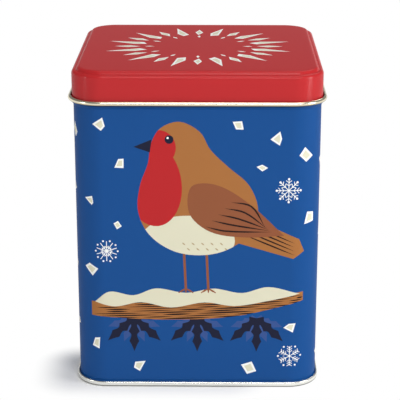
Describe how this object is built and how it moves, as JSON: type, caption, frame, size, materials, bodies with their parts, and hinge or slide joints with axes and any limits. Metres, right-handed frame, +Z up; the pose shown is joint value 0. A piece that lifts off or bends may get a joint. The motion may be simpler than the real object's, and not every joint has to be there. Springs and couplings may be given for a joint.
{
  "type": "cookie tin",
  "caption": "Tall square tinplate cookie tin with rounded corners, a recessed base held by a rolled double seam, and a slip-on lid with a raised panel and a rolled edge.",
  "frame": {"origin": "centre of the footprint, on the surface that the tin stands on", "axes": "+Z up, along the height; -Y is the front with the picture; the side seam is inside the back wall at +Y"},
  "size_m": [0.136, 0.136, 0.175],
  "materials": {
    "blue_print": "printed and varnished tinplate, satin",
    "red_print": "printed and varnished tinplate, satin",
    "tinplate": "bright plain tinplate"
  },
  "bodies": {
    "can": {"body_wall": "blue_print", "base_pan": "tinplate"},
    "lid": {"lid": "red_print"}
  },
  "joints": [
    {"name": "lid_lift", "type": "slide", "parent": "can", "child": "lid", "axis": [0, 0, 1], "range_m": [0, 0.15]}
  ]
}
